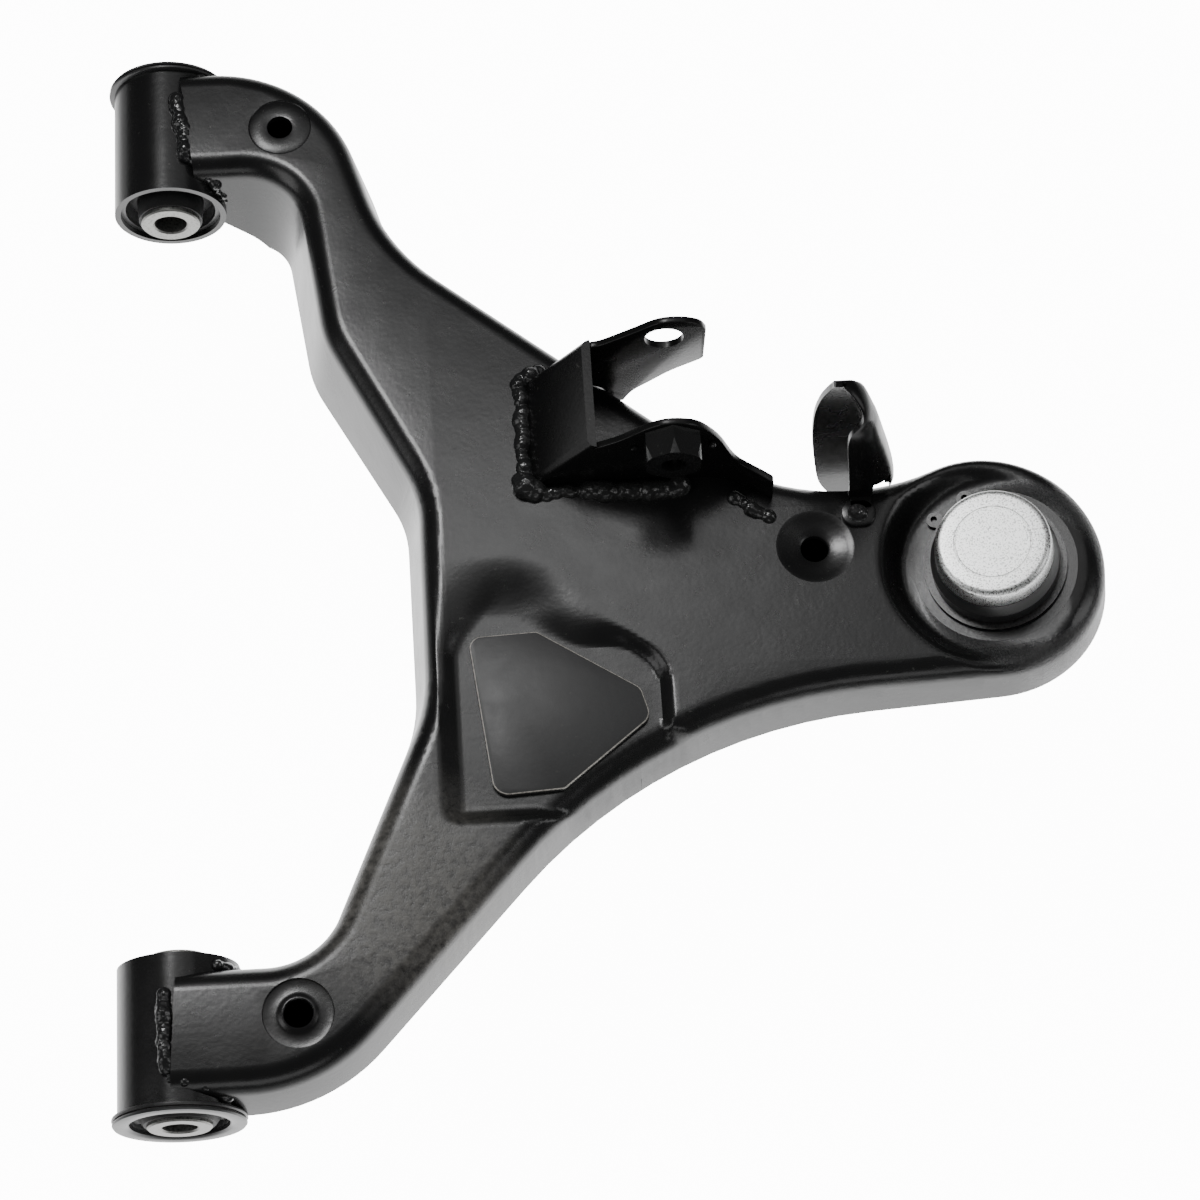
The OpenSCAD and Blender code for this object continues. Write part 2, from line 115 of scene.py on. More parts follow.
softbox("sky_panel", (0.25, 0.85, 1.9), (0.2, 0.0, 0.0), (2.2, 1.5), 5.5)
softbox("left_panel", (-1.6, -0.4, 1.2), (0.2, 0.0, 0.0), (0.9, 1.6), 8)
softbox("right_panel", (2.0, -0.3, 1.2), (0.2, 0.0, 0.0), (0.9, 1.6), 8)
softbox("front_panel", (0.2, -1.9, 0.8), (0.2, 0.0, 0.0), (1.8, 0.6), 4)
softbox("glow_panel", (0.27, 0.76, 1.85), (0.17, 0.0, 0.0), (0.34, 0.34), 1.3)
softbox("cap_panel", (-0.34, 0.79, 1.85), (0.39, 0.0, 0.0), (0.42, 0.42), 12)

world = bpy.data.worlds.new("studio_air")
bpy.context.scene.world = world
world.use_nodes = True
air_nodes, air_links = world.node_tree.nodes, world.node_tree.links
air = air_nodes["Background"]
air.inputs["Color"].default_value = (1, 1, 1, 1)
world_seen = air_nodes.new("ShaderNodeLightPath")
world_glow = air_nodes.new("ShaderNodeMapRange")
world_glow.inputs["To Min"].default_value = 0.05
world_glow.inputs["To Max"].default_value = 13
air_links.new(world_seen.outputs["Is Camera Ray"], world_glow.inputs["Value"])
air_links.new(world_glow.outputs["Result"], air.inputs["Strength"])

camera_data = bpy.data.cameras.new("camera")
camera_data.lens = 96
camera_data.sensor_width = 36
camera_data.clip_end = 20
camera = bpy.data.objects.new("camera", camera_data)
camera.location = (0.141, -0.6465, 1.439)
right = Vector((0.99789, -0.06201, 0.01950))
up = Vector((0.04916, 0.91613, 0.39786))
camera.rotation_euler = Matrix((right, up, right.cross(up))).transposed().to_euler()
bpy.context.scene.collection.objects.link(camera)
bpy.context.scene.camera = camera


# The upper shell: 3.5 mm steel sheet pressed into a hollow A, black dip coated.
# Its edge is rolled to 12 mm, its walls lean out 10 degrees, and the pad's pocket and
# the ball joint's bowl are pressed into its top.
def dark_coat(name, tone, rough, grain):
    """Black dip coating: cloudy gloss, dust specks, a slow ripple and fine orange peel."""
    coat = bpy.data.materials.new(name)
    coat.use_nodes = True
    nodes, links = coat.node_tree.nodes, coat.node_tree.links
    shader = nodes["Principled BSDF"]
    shader.inputs["IOR"].default_value = 1.55
    where = nodes.new("ShaderNodeTexCoord")

    def noise(scale, detail, distortion=0.0):
        made = nodes.new("ShaderNodeTexNoise")
        made.inputs["Scale"].default_value = scale
        made.inputs["Detail"].default_value = detail
        made.inputs["Distortion"].default_value = distortion
        links.new(where.outputs["Object"], made.inputs["Vector"])
        return made

    cloud = noise(9, 6, 0.6)
    shade = nodes.new("ShaderNodeValToRGB")
    shade.name = "tone"
    shade.color_ramp.elements[0].position = 0.35
    shade.color_ramp.elements[0].color = (tone * 0.7, tone * 0.72, tone * 0.76, 1)
    shade.color_ramp.elements[1].position = 0.7
    shade.color_ramp.elements[1].color = (tone * 1.3, tone * 1.32, tone * 1.32, 1)
    links.new(cloud.outputs["Fac"], shade.inputs["Fac"])
    speck = nodes.new("ShaderNodeMapRange")
    speck.inputs["From Min"].default_value = 0.70
    speck.inputs["From Max"].default_value = 0.78
    links.new(noise(330, 2).outputs["Fac"], speck.inputs["Value"])
    dusty = nodes.new("ShaderNodeMix")
    dusty.data_type = "RGBA"
    dusty.inputs["B"].default_value = (0.05, 0.05, 0.047, 1)
    links.new(speck.outputs["Result"], dusty.inputs["Factor"])
    links.new(shade.outputs["Color"], dusty.inputs["A"])
    links.new(dusty.outputs["Result"], shader.inputs["Base Color"])
    gloss = nodes.new("ShaderNodeMapRange")
    gloss.inputs["From Min"].default_value = 0.3
    gloss.inputs["From Max"].default_value = 0.75
    gloss.inputs["To Min"].default_value = rough * 0.92
    gloss.inputs["To Max"].default_value = rough * 1.15
    links.new(noise(70, 5, 0.2).outputs["Fac"], gloss.inputs["Value"])
    links.new(gloss.outputs["Result"], shader.inputs["Roughness"])
    ripple = nodes.new("ShaderNodeBump")
    ripple.inputs["Strength"].default_value = 0.2
    ripple.inputs["Distance"].default_value = 0.0012
    links.new(noise(28, 2).outputs["Fac"], ripple.inputs["Height"])
    relief = nodes.new("ShaderNodeBump")
    relief.name = "peel"
    relief.inputs["Strength"].default_value = 0.25
    relief.inputs["Distance"].default_value = 0.0002
    links.new(noise(grain, 3).outputs["Fac"], relief.inputs["Height"])
    links.new(ripple.outputs["Normal"], relief.inputs["Normal"])
    links.new(relief.outputs["Normal"], shader.inputs["Normal"])
    return coat


gloss_black = dark_coat("gloss_black_coating", 0.010, 0.24, 420)


def patch_on(coat, centre, near, far, tone, rough, grain, strength):
    """A rougher patch of another tone between two distances from a point, mottled and fading at its borders.
    """
    nodes, links = coat.node_tree.nodes, coat.node_tree.links
    shader = nodes["Principled BSDF"]
    where = nodes.new("ShaderNodeTexCoord")
    reach = nodes.new("ShaderNodeVectorMath")
    reach.operation = "DISTANCE"
    reach.inputs[1].default_value = centre
    links.new(where.outputs["Object"], reach.inputs[0])
    mask = nodes.new("ShaderNodeValToRGB")
    ramp = mask.color_ramp
    span = far * 1.3
    ramp.elements[0].position = 0 if near < 0 else near / span
    ramp.elements[0].color = (1, 1, 1, 1) if near < 0 else (0, 0, 0, 1)
    ramp.elements[1].position = far / span
    ramp.elements[1].color = (0, 0, 0, 1)
    middle = ramp.elements.new((max(near, 0) + (far - max(near, 0)) * 0.45) / span)
    middle.color = (0.8, 0.8, 0.8, 1)
    scaled = nodes.new("ShaderNodeMapRange")
    scaled.inputs["From Max"].default_value = span
    links.new(reach.outputs["Value"], scaled.inputs["Value"])
    links.new(scaled.outputs["Result"], mask.inputs["Fac"])
    mottle = nodes.new("ShaderNodeTexNoise")
    mottle.inputs["Scale"].default_value = grain
    mottle.inputs["Detail"].default_value = 6
    mottle.inputs["Roughness"].default_value = 0.65
    links.new(where.outputs["Object"], mottle.inputs["Vector"])
    uneven = nodes.new("ShaderNodeMapRange")
    uneven.inputs["From Min"].default_value = 0.35
    uneven.inputs["From Max"].default_value = 0.65
    uneven.inputs["To Min"].default_value = 0.25
    links.new(mottle.outputs["Fac"], uneven.inputs["Value"])
    share = nodes.new("ShaderNodeMath")
    share.operation = "MULTIPLY"
    links.new(mask.outputs["Color"], share.inputs[0])
    links.new(uneven.outputs["Result"], share.inputs[1])
    for socket, value, kind in (("Base Color", tone, "RGBA"), ("Roughness", rough, "FLOAT")):
        before = shader.inputs[socket].links[0].from_socket
        mix = nodes.new("ShaderNodeMix")
        mix.data_type = kind
        first, second, result = (6, 7, 2) if kind == "RGBA" else (2, 3, 0)
        mix.inputs[second].default_value = value
        links.new(share.outputs["Value"], mix.inputs[0])
        links.new(before, mix.inputs[first])
        links.new(mix.outputs[result], shader.inputs[socket])
    before = shader.inputs["Normal"].links[0].from_socket
    pits = nodes.new("ShaderNodeBump")
    pits.inputs["Distance"].default_value = strength
    links.new(share.outputs["Value"], pits.inputs["Height"])
    links.new(before, pits.inputs["Normal"])
    links.new(pits.outputs["Normal"], shader.inputs["Normal"])


shell_black = dark_coat("shell_black_coating", 0.010, 0.25, 420)
# On the rear leg: a lighter, rougher, mottled patch. Its lighter tone is a painted highlight; its roughness
# and mottle are the coating's own.
patch_on(shell_black, (0.104, -0.178, 0.03), -1, 0.066, (0.15, 0.143, 0.13, 1), 0.44, 260, 0.0001)
patch_on(shell_black, (0.413, -0.035, 0.024), 0.034, 0.052, (0.04, 0.042, 0.042, 1), 0.4, 900, 0.0005)

TOP = 31.5
EDGE = 12
SHEET = 3.5
LEAN = math.radians(10)
OUTLINE = [
    (-30, -270, 0), (68, -270, 80), (231, -92.5, 250), (453.5, -83, 57.5),
    (453.5, 59, 57.5), (312, 0, 110), (112, 164.5, 100), (80, 271, 74),
    (-30, 271, 0), (-30, 208, 0), (65, 208.5, 30), (76.5, 114, 60),
    (121, 25, 60), (120.5, -85, 80), (67, -210, 38), (-30, -210, 0),
]


def arc_points(corners, step=4):
    """Points of a polygon whose corners are rounded to their own radius."""
    points = []
    for i, (x, y, r) in enumerate(corners):
        here = Vector((x, y))
        u = (here - Vector(corners[i - 1][:2])).normalized()
        v = (Vector(corners[(i + 1) % len(corners)][:2]) - here).normalized()
        turn = math.atan2(u.x * v.y - u.y * v.x, u.dot(v))
        start = here - u * r * math.tan(abs(turn) / 2)
        centre = start + Vector((-u.y, u.x)) * math.copysign(r, turn)
        count = max(1, math.ceil(abs(math.degrees(turn)) / step)) if r else 0
        for k in range(count + 1):
            points.append(centre + Matrix.Rotation(turn * k / count, 2) @ (start - centre) if r else here)
    return points


def spread(points, distance):
    """The outline moved outwards by a distance, on its mitres."""
    moved = []
    for i, p in enumerate(points):
        e = (p - points[i - 1]).normalized()
        f = (points[(i + 1) % len(points)] - p).normalized()
        moved.append(p + distance * Vector((e.y + f.y, -e.x - f.x)) / (1 + e.dot(f)))
    return moved


def filled(points, longest=7):
    """The same outline with its long sides divided."""
    dense = []
    for i, p in enumerate(points):
        q = points[(i + 1) % len(points)]
        n = max(1, math.ceil((q - p).length / longest))
        dense += [p.lerp(q, k / n) for k in range(n)]
    return dense


def distance_inside(x, y, outline):
    """How far a point lies inside an outline, negative outside."""
    best, inside = 1e9, False
    for i, a in enumerate(outline):
        b = outline[i - 1]
        dx, dy = b[0] - a[0], b[1] - a[1]
        t = min(1, max(0, ((x - a[0]) * dx + (y - a[1]) * dy) / (dx * dx + dy * dy + 1e-9)))
        best = min(best, math.hypot(a[0] + t * dx - x, a[1] + t * dy - y))
        if (a[1] > y) != (b[1] > y) and x < a[0] + (y - a[1]) / (b[1] - a[1]) * (b[0] - a[0]):
            inside = not inside
    return best if inside else -best


def eased(t):
    t = min(1, max(0, t))
    return t * t * (3 - 2 * t)


POCKET = [
    (40, -300, 0), (290, -300, 0), (290, -130, 0), (238, -104, 0), (238, -70, 26),
    (205, -45, 30), (182, -12, 40), (40, -12, 0),
]
POCKET_DEPTH = 5
BALL_LEAN = math.radians(10.5)
BALL_FOOT = Vector((399, -28, 28))
BALL_AXIS = Vector((-math.sin(BALL_LEAN), 0, math.cos(BALL_LEAN)))
EYE_TOP = -2.6
pocket_edge = arc_points(POCKET, 8)


def pressed_depth(x, y):
    """How far the pressing lowers the top face at a place."""
    # The pocket's wall is a 9 mm slope towards the pivot, easing to 31 mm at its front, a
    # 6 mm slope towards the rear leg and a short lip elsewhere, fading out to the front.
    to_pivot = (x - 126.5) / (9 + 22 * eased((y + 64) / 40))
    to_rear = (y + 148) / 6
    corner = 1 - math.hypot(max(0, 1 - to_pivot), max(0, 1 - to_rear))
    lip = distance_inside(x, y, pocket_edge) / (6 + 26 * eased((y + 80) / 40) * eased((222 - x) / 30))
    pocket = POCKET_DEPTH * max(0, corner) * eased(lip)
    # The bowl's floor lies square to the ball joint's axis.
    floor_z = BALL_FOOT.z + (EYE_TOP + (x - BALL_FOOT.x) * math.sin(BALL_LEAN)) / math.cos(BALL_LEAN)
    reach = math.hypot(x - BALL_FOOT.x, y - BALL_FOOT.y)
    bowl = (TOP - floor_z) * eased((57 - reach) / 14)
    return max(pocket, bowl)


shell = bmesh.new()
wall_top = filled(arc_points(OUTLINE))
levels = [((TOP - EDGE + 60) * math.tan(LEAN), -60)]
for k in range(11):
    a = LEAN + (math.pi / 2 - LEAN) * k / 10
    levels.append((EDGE * (math.cos(a) - 1), TOP - EDGE + EDGE * math.sin(a)))
ring_before = None
for out, height in levels:
    ring = [shell.verts.new((p.x, p.y, height)) for p in spread(wall_top, out)]
    ring_edges = [shell.edges.new((v, ring[i - 1])) for i, v in enumerate(ring)]
    if ring_before:
        bmesh.ops.bridge_loops(shell, edges=ring_before + ring_edges)
    ring_before = ring_edges
shell.faces.new(ring)
bmesh.ops.recalc_face_normals(shell, faces=shell.faces)
# Cut lines give the pressed regions enough points to bend.
CUT_STEP = 2.2
for low, high, axis in ((118, 250, 0), (-158, -36, 1), (340, 458, 0), (-90, 34, 1)):
    for k in range(int((high - low) / CUT_STEP) + 1):
        place, normal = [0, 0, 0], [0, 0, 0]
        place[axis], normal[axis] = low + CUT_STEP * k, 1
        near = [f for f in shell.faces if f.normal.z > 0.02 and max(v.co.z for v in f.verts) > 20]
        geom = set(near)
        for f in near:
            geom.update(f.edges)
            geom.update(f.verts)
        bmesh.ops.bisect_plane(shell, geom=list(geom), plane_co=place, plane_no=normal)
for v in shell.verts:
    if v.co.z > 10 and v.co.x > 100:
        share = eased((v.co.z - 5) / (TOP - EDGE - 5)) if v.co.z < TOP - EDGE else 1
        v.co.z -= pressed_depth(v.co.x, v.co.y) * share
# The underside is trimmed to a plane that drops towards the front leg.
# Each leg ends on the crown of its bush tube, a little askew as it was sheared, and the
# front leg's foot is swept up to clear its tube.
FOOT = -18
RISE = 0.04
FALL = 0.065
SWEEP = 0.85
SWEEP_X = 49
for place, normal, low_y, high_y in (
    ((0, 0, FOOT), (-RISE, FALL, 1), -math.inf, math.inf),
    ((11, 242, 0), (1, 0.11, 0), 100, math.inf),
    ((0, -240, 0), (1, -0.05, 0), -math.inf, -100),
    ((SWEEP_X, 0, -29.4), (SWEEP, 0, 1), 170, math.inf),
):
    chosen = [v for v in shell.verts if low_y < v.co.y < high_y]
    geom = set(chosen)
    for v in chosen:
        geom.update(v.link_edges)
        geom.update(v.link_faces)
    bmesh.ops.bisect_plane(
        shell, geom=list(geom), plane_co=place, plane_no=normal, clear_inner=True,
    )
bmesh.ops.remove_doubles(shell, verts=shell.verts, dist=0.01)
upper_shell = finished("upper_shell_pressing", shell, shell_black, "arm", "black_paint", "upper_shell")


def turned(profile, centre, axis, parts=96):
    """A bmesh spun from a closed profile of (radius, height) about an axis."""
    lathe = bmesh.new()
    verts = [lathe.verts.new((r, 0, z)) for r, z in profile]
    edges = [lathe.edges.new((v, verts[i - 1])) for i, v in enumerate(verts)]
    bmesh.ops.spin(
        lathe, geom=verts + edges, cent=(0, 0, 0), axis=(0, 0, 1), angle=math.tau,
        steps=parts, use_merge=True, dvec=(0, 0, 0),
    )
    bmesh.ops.remove_doubles(lathe, verts=lathe.verts, dist=0.001)
    bmesh.ops.recalc_face_normals(lathe, faces=lathe.faces)
    aim = Vector(axis).to_track_quat("Z", "Y").to_matrix()
    bmesh.ops.rotate(lathe, verts=lathe.verts, matrix=aim, cent=(0, 0, 0))
    bmesh.ops.translate(lathe, verts=lathe.verts, vec=centre)
    return lathe


def joined(pieces):
    """Several bmeshes as one."""
    whole = bmesh.new()
    for part in pieces:
        mesh = bpy.data.meshes.new("part")
        part.to_mesh(mesh)
        part.free()
        whole.from_mesh(mesh)
        bpy.data.meshes.remove(mesh)
    return whole


def rod(radius, half):
    """The profile of a plain round bar."""
    return [(0, -half), (radius, -half), (radius, half), (0, half)]


# Openings cut in the sheet: room for both bush tubes, the ball joint's eye and the rims of
# the three locating holes, which are turned shapes of their own let into the sheet.
HOLES = [
    ((59, 233), 16, [
        (16, 31.5), (15.7, 31.25), (15.2, 31.5), (7, 31.5), (6.5, 31.4), (6.2, 30.9),
        (6.2, 28), (16, 28),
    ]),
    ((57, -235), 16.5, [
        (16.5, 31.5), (16.2, 30.6), (15.8, 30.5), (10.5, 30.5), (9, 30.8), (8, 31.5),
        (7.2, 31.6), (6.7, 31.1), (6.6, 28), (16.5, 28),
    ]),
    ((312, -16), 19, [
        (19, 31.5), (18, 31.35), (16, 30.7), (11, 29.3), (8, 28.7), (6.9, 28.2), (6.6, 27.6),
        (6.6, 25.5), (8, 25.5), (19, 28),
    ]),
]
drills = [
    turned(rod(28.6, 60), (0, 255, 0), (0, 1, 0)),
    turned(rod(28.6, 60), (0, -255, 0), (0, 1, 0)),
    turned(rod(39.6, 60), BALL_FOOT, BALL_AXIS),
]
for (x, y), r, profile in HOLES:
    drills.append(turned([(0, 10), (r, 10), (r, 50), (0, 50)], (x, y, 0), (0, 0, 1), 64))
drill = finished("drill", joined(drills), gloss_black, None, None)


def cut_out(piece, cutter, overlapping=False):
    """Cuts one object's shape out of a piece, for good."""
    cut = piece.modifiers.new("cut", "BOOLEAN")
    cut.operation = "DIFFERENCE"
    cut.solver = "EXACT"
    cut.use_self = overlapping
    cut.object = cutter
    bpy.context.view_layer.update()
    graph = bpy.context.evaluated_depsgraph_get()
    shape = bpy.data.meshes.new_from_object(piece.evaluated_get(graph))
    piece.modifiers.clear()
    piece.data = shape
    shape.shade_smooth()
    shape.set_sharp_from_angle(angle=math.radians(38))


thickness = upper_shell.modifiers.new("sheet", "SOLIDIFY")
thickness.thickness = SHEET * MM
thickness.offset = -1
thickness.use_even_offset = True
cut_out(upper_shell, drill)
whole_shell = bmesh.new()
whole_shell.from_mesh(upper_shell.data)
bmesh.ops.scale(whole_shell, vec=(1 / MM,) * 3, verts=whole_shell.verts)
bpy.data.objects.remove(upper_shell)
rims = [turned(profile, (x, y, 0), (0, 0, 1), 64) for (x, y), r, profile in HOLES]
upper_shell = finished(
    "upper_shell_pressing", joined([whole_shell] + rims), shell_black, "arm", "black_paint",
    "upper_shell",
)

# The lower shell: a flat 3.5 mm pressing that closes the box from below. It sits 2 mm up
# between the walls, a fillet weld runs round it, and it is swept up at the front bush.
unit_out = spread(wall_top, 1)


def foot_level(x, y):
    """Height of the walls' lower edge."""
    return FOOT + RISE * x - FALL * y + (SWEEP * max(0, SWEEP_X - x) if y > 150 else 0)


def between_walls(inset, lift):
    """A ring of points round the inside of the walls, a little above their edge."""
    ring = []
    for p, q in zip(wall_top, unit_out):
        height = foot_level(p.x, p.y) + lift
        out = (TOP - EDGE - height) * math.tan(LEAN) - inset
        flat = p + out * (q - p)
        ring.append((flat.x, flat.y, height))
    return ring


def thickened(sheet, by):
    """Grows a flat sheet into a plate."""
    grown = bmesh.ops.extrude_face_region(sheet, geom=sheet.faces[:])
    moved = [v for v in grown["geom"] if isinstance(v, bmesh.types.BMVert)]
    bmesh.ops.translate(sheet, vec=by, verts=moved)
    bmesh.ops.recalc_face_normals(sheet, faces=sheet.faces)


LOWER_LIFT = 2
LOWER_END = 16
lower = bmesh.new()
lower_outline = between_walls(SHEET + 0.5, LOWER_LIFT)
lower.faces.new([lower.verts.new((x, y, 0)) for x, y, z in lower_outline])
for place, clear in ((SWEEP_X, False), (LOWER_END, True)):
    geom = lower.verts[:] + lower.edges[:] + lower.faces[:]
    bmesh.ops.bisect_plane(
        lower, geom=geom, plane_co=(place, 0, 0), plane_no=(1, 0, 0), clear_inner=clear,
    )
for v in lower.verts:
    v.co.z = foot_level(v.co.x, v.co.y) + LOWER_LIFT
thickened(lower, (0, 0, SHEET))
lower_piece = finished("lower_shell_pressing", lower, gloss_black, "arm", "black_paint", "lower_shell")
cut_out(lower_piece, drill)

# The seam's fillet weld: one bead run along the joint of the two shells, on their
# underside. It is a plain run, and ends where the legs meet the bush tubes.
BEAD = 1.3
fillet = bmesh.new()
ring_before = first_ring = None
for k in range(6):
    a = math.pi / 3 * k
    course = between_walls(SHEET + 0.4 - BEAD * math.cos(a), 0.9 + BEAD * math.sin(a))
    ring = [fillet.verts.new(c) for c in course]
    ring_edges = [fillet.edges.new((v, ring[i - 1])) for i, v in enumerate(ring)]
    if ring_before:
        bmesh.ops.bridge_loops(fillet, edges=ring_before + ring_edges)
    else:
        first_ring = ring_edges
    ring_before = ring_edges
bmesh.ops.bridge_loops(fillet, edges=ring_before + first_ring)
cut_ends = bmesh.ops.bisect_plane(
    fillet, geom=fillet.verts[:] + fillet.edges[:] + fillet.faces[:],
    plane_co=(LOWER_END, 0, 0), plane_no=(1, 0, 0), clear_inner=True,
)
cut_edges = [g for g in cut_ends["geom_cut"] if isinstance(g, bmesh.types.BMEdge)]
bmesh.ops.holes_fill(fillet, edges=cut_edges)
bmesh.ops.recalc_face_normals(fillet, faces=fillet.faces)
fillet_piece = finished("seam_weld_bead", fillet, gloss_black, "arm", "painted_weld", "seam_weld")
cut_out(fillet_piece, drill)
bpy.data.objects.remove(drill)

# The eye ring is turned from bar and carries the ball joint between the shells. The bush
# tubes are cut from drawn tube. All are coated with the arm.
def painted(node, coat):
    """Gives a piece that comes with the frame its finish."""
    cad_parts[node].material_slots[0].material = coat


for name in ("ball_joint_eye", "front_bush_tube", "rear_bush_tube"):
    painted(name, gloss_black)

# The bushes: a rubber spring bonded between two steel sleeves and pressed into each tube.
# The outer sleeve's end is rolled out to a flange. The inner sleeve is turned steel.
sleeve_black = dark_coat("sleeve_coating", 0.03, 0.32, 900)
rubber_black = dark_coat("moulded_rubber", 0.018, 0.62, 1500)


def bare_metal(name, tone, rough, grain, metal=1.0, fleck=0.6):
    """Bare or plated metal with a fine frosted or turned grain."""
    plate = bpy.data.materials.new(name)
    plate.use_nodes = True
    nodes, links = plate.node_tree.nodes, plate.node_tree.links
    shader = nodes["Principled BSDF"]
    shader.inputs["Metallic"].default_value = metal
    where = nodes.new("ShaderNodeTexCoord")
    frost = nodes.new("ShaderNodeTexNoise")
    frost.inputs["Scale"].default_value = grain
    frost.inputs["Detail"].default_value = 4
    links.new(where.outputs["Object"], frost.inputs["Vector"])
    shade = nodes.new("ShaderNodeValToRGB")
    shade.color_ramp.elements[0].position = 0.36
    shade.color_ramp.elements[0].color = [c * fleck for c in tone] + [1]
    shade.color_ramp.elements[1].position = 0.5
    shade.color_ramp.elements[1].color = list(tone) + [1]
    links.new(frost.outputs["Fac"], shade.inputs["Fac"])
    links.new(shade.outputs["Color"], shader.inputs["Base Color"])
    gloss = nodes.new("ShaderNodeMapRange")
    gloss.inputs["To Min"].default_value = rough * 0.7
    gloss.inputs["To Max"].default_value = rough * 1.4
    links.new(frost.outputs["Fac"], gloss.inputs["Value"])
    links.new(gloss.outputs["Result"], shader.inputs["Roughness"])
    relief = nodes.new("ShaderNodeBump")
    relief.inputs["Strength"].default_value = 0.3
    relief.inputs["Distance"].default_value = 0.0002
    links.new(frost.outputs["Fac"], relief.inputs["Height"])
    links.new(relief.outputs["Normal"], shader.inputs["Normal"])
    return plate


def eased_edges(shape, edges, width, steps):
    """Rounds edges over."""
    bmesh.ops.bevel(
        shape, geom=edges, offset=width, affect="EDGES", segments=steps, profile=0.5,
        material=-1,
    )


turned_steel = bare_metal("turned_steel", (0.25, 0.25, 0.24), 0.42, 900)
BUSH_Y = 237
for end, side in (("front", 1), ("rear", -1)):
    centre = (0, side * BUSH_Y, 0)
    outwards = (0, side, 0)
    sleeve = turned([
        (23, -32), (25.4, -32), (25.4, 35.05), (30.2, 35.05), (31, 35.5), (31.2, 36.3),
        (30.6, 37), (29.6, 37.2), (29.6, 37.5), (30.6, 37.8), (30.9, 38.4), (30.3, 39.2),
        (28.6, 39.5), (25, 39.5), (23.8, 39.2), (23, 38.4),
    ], centre, outwards)
    finished(
        end + "_outer_sleeve_turned", sleeve, sleeve_black, "arm", "sleeve_paint",
        end + "_outer_sleeve",
    )
    spring = turned([
        (15.1, -38), (16.2, -38), (17.2, -27), (21.5, -25), (22.9, -30), (22.9, 36.5),
        (22, 37), (20.6, 29), (18, 28), (17.2, 30), (18.6, 36), (16.6, 38.6), (15.1, 38.6),
    ], centre, outwards)
    web_turn = Matrix.Rotation(math.radians(20 * side), 3, "Y")
    webs = bmesh.new()
    for across in (-1, 1):
        made = bmesh.ops.create_cube(webs, size=1)
        bmesh.ops.scale(webs, vec=(6.5, 8, 9), verts=made["verts"])
        bmesh.ops.rotate(webs, verts=made["verts"], cent=(0, 0, 0), matrix=web_turn)
        web_place = (across * 19.6, side * (BUSH_Y + 31.5), -3)
        bmesh.ops.translate(webs, vec=web_place, verts=made["verts"])
    eased_edges(webs, webs.edges[:], 1.5, 3)
    finished(
        end + "_bush_rubber_spring", joined([spring, webs]), rubber_black, "arm",
        "bush_rubber", end + "_bush_rubber",
    )
    inner = turned([
        (8.25, -39.7), (9, -40.5), (14.3, -40.5), (15, -39.8), (15, 39.8), (14.3, 40.5),
        (9, 40.5), (8.25, 39.7),
    ], centre, outwards)
    finished(
        end + "_inner_sleeve_turned", inner, turned_steel, end + "_sleeve", "sleeve_steel",
        end + "_inner_sleeve",
    )

# The weld beads: laid by hand in short overlapping puddles that run together, at both
# bush tubes and round the damper bracket's foot. All are coated with the arm.
weld_black = dark_coat("coated_weld", 0.02, 0.14, 240)
weld_black.node_tree.nodes["peel"].inputs["Strength"].default_value = 0.9
weld_black.node_tree.nodes["peel"].inputs["Distance"].default_value = 0.0012
chance = random.Random(7)


def bead(path, radius, rough=0.2, pitch=0.55):
    """Overlapping puddles along a path of points."""
    puddles = bmesh.new()
    for i in range(len(path) - 1):
        a, b = Vector(path[i]), Vector(path[i + 1])
        count = max(1, round((b - a).length / (radius * pitch)))
        for k in range(count):
            size = radius * (1 + rough * (chance.random() - 0.5))
            slip = Vector([rough * radius * (chance.random() - 0.5) for _ in range(3)])
            made = bmesh.ops.create_uvsphere(puddles, u_segments=14, v_segments=8, radius=size)
            bmesh.ops.translate(puddles, vec=a.lerp(b, k / count) + slip, verts=made["verts"])
    return puddles


def round_tube(y, start, end, r=29.2, parts=12):
    """Points round a bush tube, angles in degrees from +X towards +Z."""
    turn = [math.radians(start + (end - start) * k / parts) for k in range(parts + 1)]
    return [(r * math.cos(t), y, r * math.sin(t)) for t in turn]


def flowed(piece):
    """Runs the puddles of a weld together into one lumpy bead."""
    run = piece.modifiers.new("run_together", "REMESH")
    run.mode = "VOXEL"
    run.voxel_size = 0.5 * MM
    run.use_smooth_shade = True
    settle = piece.modifiers.new("settle", "SMOOTH")
    settle.factor = 0.5
    settle.iterations = 9


front_beads = [
    bead([(11, 221, 28), (10, 232, 28.4), (8, 246, 28.8), (6, 257, 28.6)], 4.6, 0.3, 0.7),
    bead([(10, 220.5, 28.6), (13, 219, 27.5), (17, 217, 25.5)], 3.0, 0.7),
    bead([(22, 212, 21), (25.5, 208.5, 17)], 3.6, 0.9),
    bead(round_tube(207.5, 34, -32), 2.2, 0.5),
    bead(round_tube(270, 52, -30), 2.0, 0.3),
]
flowed(finished(
    "front_bush_weld_beads", joined(front_beads), weld_black, "arm", "painted_weld",
    "front_bush_weld",
))
rear_beads = [
    bead([(-4, -222, 28), (-4.5, -236, 28.4), (-4, -250, 28.4), (-2, -260, 28)], 4.2, 0.25, 0.7),
    bead([(-1, -261.5, 28.6), (4, -263, 28.2), (12, -264.5, 26.2), (18, -266, 23)], 2.2, 0.7),
    bead([(19, -266.5, 22), (23, -268, 18)], 3.6, 0.9),
    bead(round_tube(-207.5, 46, -30), 2.4, 0.4),
    bead(round_tube(-267.5, 44, -30), 2.4, 0.6),
]
flowed(finished(
    "rear_bush_weld_beads", joined(rear_beads), weld_black, "arm", "painted_weld",
    "rear_bush_weld",
))
